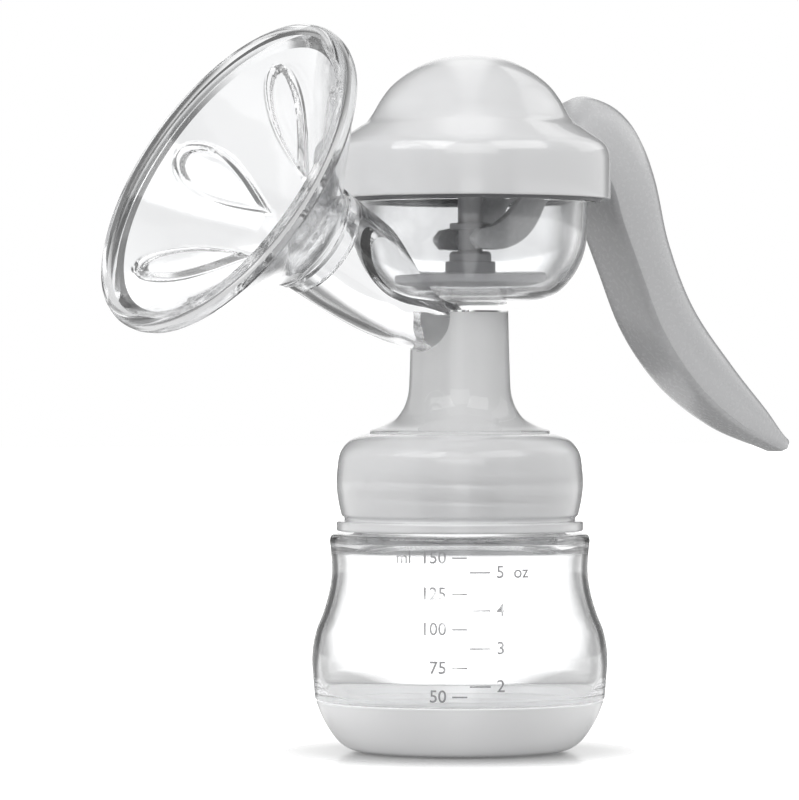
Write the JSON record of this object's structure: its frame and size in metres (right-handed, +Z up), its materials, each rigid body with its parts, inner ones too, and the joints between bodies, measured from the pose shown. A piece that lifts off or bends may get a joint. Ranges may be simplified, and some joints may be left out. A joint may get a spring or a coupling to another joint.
{
  "type": "manual breast pump",
  "caption": "Hand-squeezed breast pump: clear funnel and bowl under a white dome, curved lever handle, screw collar and a waisted clear bottle on a white base.",
  "frame": {"origin": "centre of the base's underside, on the bottle's axis", "axes": "+Z up along the bottle's axis, funnel towards -X, handle towards +X"},
  "size_m": [0.1872, 0.0828, 0.1711],
  "materials": {
    "white_plastic": "gloss, smooth moulded",
    "clear_plastic": "clear, polished moulded",
    "collar_plastic": "translucent grey, smooth",
    "grey_plastic": "satin grey, moulded",
    "clear_silicone": "soft, translucent, satin",
    "white_silicone": "soft, frosted",
    "steel": "bright pin"
  },
  "bodies": {
    "bottle_set": {"bottle_base": "white_plastic", "vent_valve": "white_silicone", "bottle": "clear_plastic"},
    "seal": {"bottle_gasket": "white_silicone"},
    "collar": {"screw_collar": "collar_plastic"},
    "head": {"pump_body": "clear_plastic", "duckbill_valve": "white_silicone", "diaphragm": "clear_silicone", "retaining_ring": "grey_plastic", "pivot_pin": "steel"},
    "cushion": {"massage_cushion": "clear_silicone"},
    "cap": {"dome_cap": "white_plastic"},
    "plunger": {"piston_plate": "grey_plastic", "pump_stem": "grey_plastic"},
    "lever": {"squeeze_handle": "white_plastic", "handle_cover": "white_plastic"}
  },
  "joints": [
    {"name": "head_lift", "type": "slide", "parent": "bottle_set", "child": "seal", "axis": [0, 0, 1], "range_m": [0, 0.0061]},
    {"name": "collar_turn", "type": "hinge", "parent": "seal", "child": "collar", "pos_m": [0, 0, 0.065], "axis": [0, 0, 1], "range_deg": [0, 540]},
    {"name": "head_swivel", "type": "hinge", "parent": "seal", "child": "head", "pos_m": [0, 0, 0.072], "axis": [0, 0, 1], "continuous": true},
    {"name": "cushion_pull", "type": "slide", "parent": "head", "child": "cushion", "axis": [-0.8625, 0, 0.506], "range_m": [0, 0.04]},
    {"name": "cap_lift", "type": "slide", "parent": "head", "child": "cap", "axis": [0, 0, 1], "range_m": [0, 0.045]},
    {"name": "handle_squeeze", "type": "hinge", "parent": "head", "child": "lever", "pos_m": [0.0298, 0, 0.1375], "axis": [0, 1, 0], "range_deg": [0, 25], "stiffness_Nm_per_rad": 0.3, "springref_deg": -2.86},
    {"name": "stem_lift", "type": "slide", "parent": "head", "child": "plunger", "axis": [0, 0, 1], "range_m": [0, 0.0119], "deforming": ["diaphragm"]}
  ],
  "couplings": [
    {"joint": "head_lift", "follows": "collar_turn", "m_per_rad": 0.00063662},
    {"joint": "stem_lift", "follows": "handle_squeeze", "m_per_rad": 0.02706}
  ]
}
